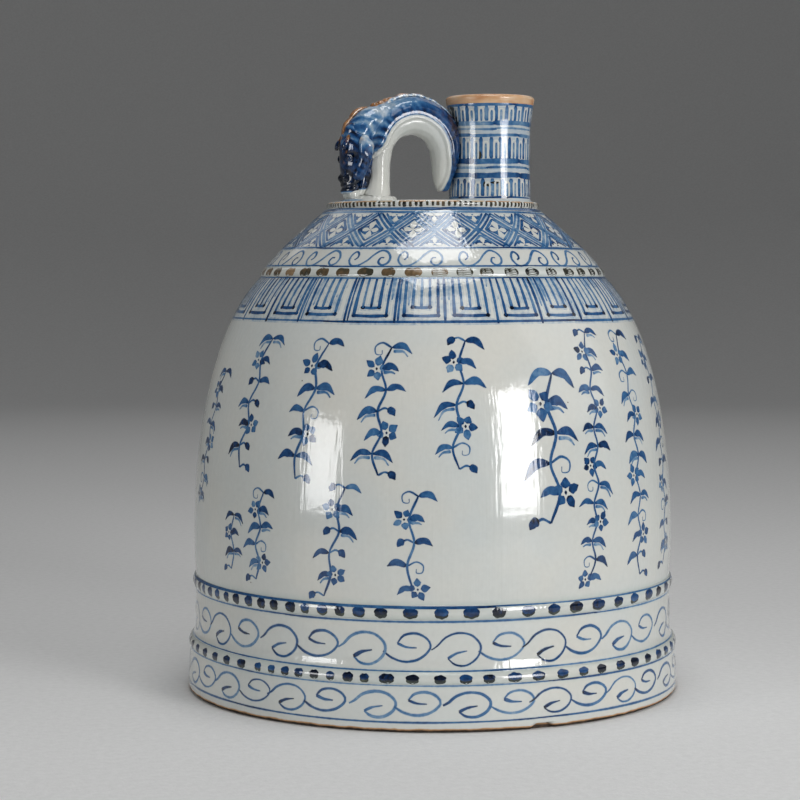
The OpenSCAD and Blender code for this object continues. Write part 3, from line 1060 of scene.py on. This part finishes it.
# Painted rings: height, width and ink.
TUBE_RINGS = [(192.7, 1.3, 0.05), (186.5, 1.5, 0.0), (184.7, 0.7, -0.25), (182.6, 1.1, -0.05),
              (174.1, 1.7, 0.15), (172.0, 0.8, -0.25), (169.5, 1.8, 0.15), (161.9, 1.4, 0.1)]
# Iron spots from the kiln, and dark patches of painted shade from the dragon high on the tube's left: the
# angle and height of each, its width and its own height.
KILN_SPOTS_AND_SHADE = [(-16, 176, 1.9, 2.6), (-9, 166.4, 1.2, 2.0), (-3, 166.2, 2.0, 0.9), (6, 167.0, 3.2, 0.8),
              (-50, 176.2, 1.2, 2.0), (-64, 190.2, 5.0, 4.5), (-56, 187.2, 3.6, 3.6), (-62, 184.6, 1.6, 2.6)]


def paint_tube(wall):
    """Three rows of upright arches left white, between painted rings."""
    brush = Brush(wall, tone=0.56, rise=0.02, bleed=0.7, palest=0.3)
    arches = Brush(wall, rise=0.05)
    for low, high in TUBE_ROWS:
        for start, pitch in repeat(26, vary(0, 13), 0.05):
            brush.stroke([(start, high), (start, low)], vary(1.2, 1.5), vary(-0.15, 0.1))
            middle, top = start + pitch * 0.5, low + (high - low) * vary(0.80, 0.92)
            inner = [(middle, low), (middle, low + (top - low) * 0.85)]
            brush.stroke(inner, vary(0.7, 0.9), vary(-0.3, 0.0))
            side = pitch * 0.22
            left = [(-side, low + 0.1), (-side, top - 0.9), (-side * 0.6, top - 0.2)]
            arch = [(middle + s, z) for s, z in left] + [(middle - s, z) for s, z in reversed(left)]
            arches.stroke(arch, vary(0.5, 0.65), step=0.5)
    for z, width, ink in TUBE_RINGS:
        brush.hoop(z, width, ink, 0.15)
    brush.piece("painted_tube_rows", cobalt_ink)
    arches.piece("white_tube_arches", porcelain, "porcelain")
    # Iron spots, and the painted shade from the dragon high on the tube's left side.
    spots = Brush(wall, tone=0.75, rise=0.05)
    for spot in KILN_SPOTS_AND_SHADE:
        spots.dab(*spot, 0.1)
    spots.piece("kiln_spots_and_shade_on_tube", iron_ink, "iron_brown_edge")


# ---------------------------------------------------------------- the dragon
# The middle line of the dragon's looped body, from the tail's tip to the foot: x, z and half its thickness.
LOOP = [(3.2, 164.9, 1.0), (3.7, 169.5, 3.5), (4.5, 175, 4.8), (4.3, 180.5, 5.8), (0.7, 186.1, 6.2),
        (-6.9, 189.2, 6.4), (-14.4, 186.9, 6.1), (-18.6, 181, 5.1), (-19.5, 174.5, 4.4),
        (-19.8, 164.8, 4.5), (-20.4, 160.4, 5.6)]
LOOP_CENTRE = (-8, 172)


def remeshed(nodes, pellets, voxel, rounds):
    """CAD nodes and round pellets of clay melted into one skin: points and normals in mm, faces."""
    clay = bmesh.new()
    for x, y, z, radius in pellets:
        pellet = bmesh.ops.create_icosphere(clay, subdivisions=3, radius=radius * MM)
        for v in pellet["verts"]:
            v.co = (v.co.x + x * MM, v.co.y + y * MM, v.co.z + z * MM)
    for node in nodes:
        clay.from_mesh(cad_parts[node].data)
    rough = bpy.data.meshes.new("rough")
    clay.to_mesh(rough)
    clay.free()
    thing = bpy.data.objects.new("rough", rough)
    bpy.context.scene.collection.objects.link(thing)
    remesh = thing.modifiers.new("remesh", "REMESH")
    remesh.mode, remesh.voxel_size = "VOXEL", voxel * MM
    soften = thing.modifiers.new("soften", "SMOOTH")
    soften.factor, soften.iterations = 0.5, rounds
    skin = thing.evaluated_get(bpy.context.evaluated_depsgraph_get()).to_mesh()
    result = np.array([v.co for v in skin.vertices]) / MM
    normals = np.array([v.normal for v in skin.vertices])
    polygons = [list(p.vertices) for p in skin.polygons]
    thing.to_mesh_clear()
    bpy.data.objects.remove(thing)
    bpy.data.meshes.remove(rough)
    return result, normals, polygons


def sculpt(name, nodes, paint, relief=None, pellets=(), voxel=0.3, rounds=4, slot="cobalt_glaze"):
    """A modelled piece: CAD nodes melted together, pushed about by relief and coloured by paint.

    Paint gives the ink and the rust, from 0 to 1, at each point or all over. The rust channel also carries a
    brownish painted shade.
    """
    points, normals, faces = remeshed(nodes, pellets, voxel, rounds)
    if relief:
        points = points + (normals.T * relief(points, normals)).T
    made = new_object(name, points, faces, painted_glaze)
    ink, rust = (np.clip(value + np.zeros(len(points)), 0, 1) for value in paint(points))
    point_values(made, ink=ink, rust=rust)
    belongs(made, slot, *nodes)


def grain(points, size, seed=0.0):
    """Smooth noise from -1 to 1 at each point, with blobs about size mm across."""
    offset = Vector((seed, seed * 0.7, -seed))
    return np.array([noise.noise(Vector(p) / size + offset) for p in points.tolist()])


def along_loop(points):
    """For each point: the length along the loop, the height to its back, and its half thickness."""
    line = flowing(LOOP, 0.4)
    run = np.gradient(line[:, :2], axis=0)
    length = np.concatenate([[0], np.cumsum(np.linalg.norm(np.diff(line[:, :2], axis=0), axis=1))])
    flat = points[:, [0, 2]]
    nearest = np.empty(len(points), int)
    for start in range(0, len(points), 4000):
        part = flat[start:start + 4000]
        gap = ((part[:, None, :] - line[None, :, :2]) ** 2).sum(axis=2)
        nearest[start:start + 4000] = gap.argmin(axis=1)
    run /= np.linalg.norm(run, axis=1, keepdims=True)
    back = np.stack([run[:, 1], -run[:, 0]], -1)
    away = line[:, :2] - np.array(LOOP_CENTRE)
    back *= np.sign((back * away).sum(axis=1))[:, None]
    height = ((flat - line[nearest, :2]) * back[nearest]).sum(axis=1)
    return length[nearest], height, line[nearest, 2]


def ridge_height(length, half):
    """How high on the dragon's side the ridge between its blue back and its white belly runs."""
    tail = smoothstep(14, 2, length)
    leg = smoothstep(47, 56, length)
    return half * (0.06 + 0.35 * tail + 1.6 * leg) - 1.2 - 0.7 * bump_at(length, 18, 9)


def loop_relief(points, normals):
    length, height, half = along_loop(points)
    ridge = ridge_height(length, half)
    beside = smoothstep(0.15, 0.5, np.abs(normals[:, 1]))
    rim = 0.50 * bump_at(height, ridge, 0.6) * beside
    groove = -0.22 * bump_at(height, ridge + 1.1, 0.5) * beside
    groove -= 0.28 * bump_at(height, ridge - 1.1, 0.6) * beside
    mane = smoothstep(0.5, 2.5, height - ridge) * bump_at(length, 44, 11)
    fur = 0.07 * np.sin(2.1 * length + 1.1 * np.abs(points[:, 1]) + 2.5 * grain(points, 5.0)) * mane
    return rim + groove + fur + 0.06 * grain(points, 4.0, 3.0)


def loop_paint(points):
    length, height, half = along_loop(points)
    ridge = ridge_height(length, half)
    back = smoothstep(0.6, 1.15, height - ridge)
    streak = np.sin(2.6 * length + 1.3 * np.abs(points[:, 1]) + 3.0 * grain(points, 4.0, 9.0))
    mane = bump_at(length, 46, 12)
    tone = 0.80 - 0.14 * mane + (0.04 + 0.26 * mane) * streak + 0.10 * grain(points, 3.0, 5.0)
    crest = smoothstep(0.30, 0.75, height / half) * bump_at(length, 38, 8)
    tone -= 0.62 * crest * (0.8 + 0.35 * streak)
    tone -= 0.25 * smoothstep(8, 2, length)
    tone = np.maximum(tone, 0.12) * back
    # Painted shade where the back comes close to the tube: darker ink in soft patches, with a little brown
    # in the rust channel.
    shade_at_tube = smoothstep(0.15, 0.55, height / half) * bump_at(length, 22, 6)
    shade_at_tube *= smoothstep(2.5, 5, points[:, 0])
    shade_at_tube *= smoothstep(-0.1, 0.15, grain(points, 3.0, 11.0) + 0.25)
    footing = 0.3 * bump_at(points[:, 2], 160.4, 0.5)
    tip = 0.8 * smoothstep(164.7, 164.0, points[:, 2]) * smoothstep(0, 1, points[:, 0])
    return tone + footing + 0.25 * shade_at_tube, np.maximum(0.12 * shade_at_tube, tip)


def crest_paint(points):
    length, height, half = along_loop(points)
    tip = smoothstep(0.35, 1.25, height - half + 0.5 * grain(points, 1.6))
    tone = 0.16 + 0.24 * smoothstep(30, 12, length) + 0.16 * np.sin(4.2 * length + grain(points, 2.0))
    return tone, tip * smoothstep(18, 34, length)


def spot_on(points, at_x, at_z, size):
    """1 at a spot on either side of the head, falling off to 0 around it."""
    return np.exp(-((points[:, 0] - at_x) ** 2 + (points[:, 2] - at_z) ** 2) / size)


def head_relief(points, normals):
    x, y, z = points.T
    side = smoothstep(0.2, 0.7, np.abs(normals[:, 1]))
    mouth = -0.5 * bump_at(z, 166.0 + 0.25 * (x + 28), 0.5) * smoothstep(-24, -26, x)
    cheek = 0.35 * spot_on(points, -26.6, 170.8, 4) * side
    socket = -0.5 * spot_on(points, -30.0, 175.2, 2.2)
    folds = 0.05 * np.sin(2.4 * z + 1.5 * x) * smoothstep(177, 181, z)
    muzzle = -0.75 * spot_on(points, -32.2, 168, 5)
    return mouth + cheek + socket + folds + muzzle + 0.04 * grain(points, 2.5)


def head_paint(points):
    x, y, z = points.T
    chevron = np.sin(1.9 * z + 1.5 * x + 1.5 * grain(points, 3.0))
    tone = 0.90 + 0.12 * grain(points, 2.2) + 0.20 * chevron * smoothstep(176, 181, z)
    tone -= 0.22 * smoothstep(177, 181, z)
    tone += 0.28 * smoothstep(170, 167.5, z)
    tone -= 0.20 * spot_on(points, -26.4, 171.2, 3)
    tone += 0.25 * spot_on(points, -30.2, 174.8, 2.5)
    lip = smoothstep(164.3, 163.5, z)
    edge = smoothstep(-30.4, -31.4, x + 0.3 * grain(points, 1.5))
    worn = smoothstep(0.2, 0.6, grain(points, 1.8, 4.0)) * edge * smoothstep(172, 175, z)
    return tone * (1 - lip) + 0.12 * lip, worn


def jaw_paint(points):
    tone = 0.92 + 0.1 * grain(points, 1.5)
    lip = smoothstep(165.2, 164.3, points[:, 2] + 0.4 * grain(points, 1.5))
    return tone * (1 - lip), 0


def pad_paint(points):
    x, y, z = points.T
    edge = smoothstep(6.2, 9.0, np.hypot(x + 23.6, y))
    left = smoothstep(-25, -30, x)
    tone = 0.45 * edge * left + 0.1 * left * grain(points, 1.5)
    return tone * smoothstep(0.0, 0.15, tone), 0


def brow_relief(points, normals):
    return -0.4 + 0.1 * grain(points, 1.5)


def brow_paint(points):
    worn = smoothstep(180, 181.5, points[:, 2] + 1.5 * grain(points, 1.2, 2.0)) * 0.9
    return 0.96 + 0.1 * grain(points, 1.2), worn


def ear_relief(points, normals):
    x, y, z = points.T
    hollow = np.exp(-((x + 25.6) / 1.0) ** 2 - ((z - 177.0) / 2.6) ** 2)
    return -0.25 * hollow * smoothstep(0.4, 0.8, normals[:, 1] * np.sign(y)) + 0.05 * grain(points, 1.5)


def ear_paint(points):
    x, y, z = points.T
    hollow = np.exp(-((x + 25.6) / 1.2) ** 2 - ((z - 177.0) / 3.2) ** 2)
    # The ear's top and right side are painted paler: a painted highlight where the light falls on it.
    rim = smoothstep(175.5, 180, z + 0.5 * x + 13) * (1 - 0.4 * hollow)
    tone = 0.80 + 0.10 * hollow - 0.70 * rim + 0.06 * np.sin(3 * z + 2 * x) + 0.12 * grain(points, 1.2)
    return np.maximum(tone, 0.07), 0.3 * smoothstep(0.0, 0.5, grain(points, 1.4, 6.0)) * rim


def eye_relief(points, normals):
    return -0.5


def eye_paint(points):
    return 0.95, 0


# Pellets of clay that fill the shapes out: x, y, z and radius. The loop's are at its shoulder and tail.
LOOP_PELLETS = [(-14.5, 0, 188.6, 4.6), (-17.2, 0, 188.3, 4.8), (-20.2, 0, 187.2, 5.0),
                (-23.0, 0, 185.8, 4.9), (4.0, 0, 167.6, 2.7), (3.9, 0, 166.4, 2.3)]
CHEEK_PELLETS = [(-28.0, 1.6, 183.2, 3.3), (-28.0, -1.6, 183.2, 3.3), (-26.0, 0, 182.0, 4.9),
                 (-23.6, 0, 178.0, 4.6), (-24.2, 0, 174.0, 4.4), (-24.6, 0, 170.0, 4.0),
                 (-25.0, 0, 167.0, 3.4)]
LIP_PELLETS = [(-27.6 - 0.4 * abs(y), y, 163.0, 2.0) for y in (-2.4, -0.8, 0.8, 2.4)]
FOOT_PELLETS = [(-20.6 + 6.2 * math.cos(a), 6.0 * math.sin(a), 161.0, 1.6)
                for a in np.linspace(0, 2 * math.pi, 20, endpoint=False)]
EAR_PELLETS = [(-25.3 - 2.2 * t**2, side * (6.2 - 1.7 * t), 178.5 - 9.3 * t, 2.45 - 0.4 * t)
               for side in (-1, 1) for t in np.linspace(0, 1, 16)]
MANE_PELLETS = [(-14.6, 0, 193.2, 1.5), (-16.4, 0, 193.0, 1.7), (-18.4, 0, 192.2, 1.7),
                (-20.4, 0, 191.6, 1.6)]


def make_dragon():
    sculpt("dragon_loop", ["dragon_body", "dragon_foreleg", "dragon_neck"], loop_paint, loop_relief,
           LOOP_PELLETS, rounds=7)
    sculpt("dragon_footing", ["dragon_pad"], pad_paint, None, FOOT_PELLETS, rounds=12, slot="porcelain")
    sculpt("dragon_skull", ["dragon_head", "dragon_nostrils"], head_paint, head_relief, CHEEK_PELLETS,
           0.25, 9)
    sculpt("dragon_lower_jaw", ["dragon_jaw"], jaw_paint, None, LIP_PELLETS, 0.25, 6, "porcelain")
    sculpt("dragon_brow_ridges", ["dragon_brows"], brow_paint, brow_relief, voxel=0.2)
    sculpt("dragon_ear_lobes", ["dragon_ears"], ear_paint, ear_relief, EAR_PELLETS, 0.2, 10)
    sculpt("dragon_eye_pair", ["dragon_eyes"], eye_paint, eye_relief, voxel=0.2)
    sculpt("dragon_mane", ["dragon_crest"], crest_paint, None, MANE_PELLETS, 0.25, 4, "iron_brown_edge")


# ---------------------------------------------------------------- floor
def make_floor():
    """A pale round floor that sweeps up into a plain backdrop all round."""
    flat, sweep, rise = 1500, 900, 1300
    outline = [(0.5, 0), (300, 0), (700, 0), (flat, 0)]
    for a in np.linspace(0.1, math.pi / 2, 12):
        outline.append((flat + sweep * math.sin(a), sweep * (1 - math.cos(a))))
    outline.append((flat + sweep, sweep + rise))
    segments = 96
    a = np.arange(segments) * 2 * math.pi / segments
    grid = [np.stack([r * np.sin(a), -r * np.cos(a), np.full(segments, z)], -1) for r, z in outline]
    floor = new_object("floor", np.concatenate(grid),
                       ring_faces(len(grid), segments, wrap_rows=False) + [tuple(range(segments))[::-1]],
                       floor_material())
    world = bpy.data.worlds.new("studio")
    world.use_nodes = True
    world.node_tree.nodes["Background"].inputs[0].default_value = (0.8, 0.82, 0.85, 1)
    world.node_tree.nodes["Background"].inputs[1].default_value = 0.07
    bpy.context.scene.world = world


# ---------------------------------------------------------------- the whole scene
make_camera()
make_lights()
make_walls()
make_foot()
make_ticked_band("hem", HEM, count=67, width=4.7, height=2.1, crowd=(-42, -12))
waist_surface = make_ticked_band("waist", WAIST, count=61, width=5.3, height=2.6, crowd=(-72, -14))
paint_waist_line(waist_surface)
make_shoulder_band()
make_crown()
glaze_crown_plate()
make_tube()
make_dragon()
paint_lower_bands()
paint_upper_scroll()
paint_lattice()
paint_fret()
paint_sprays()
make_floor()
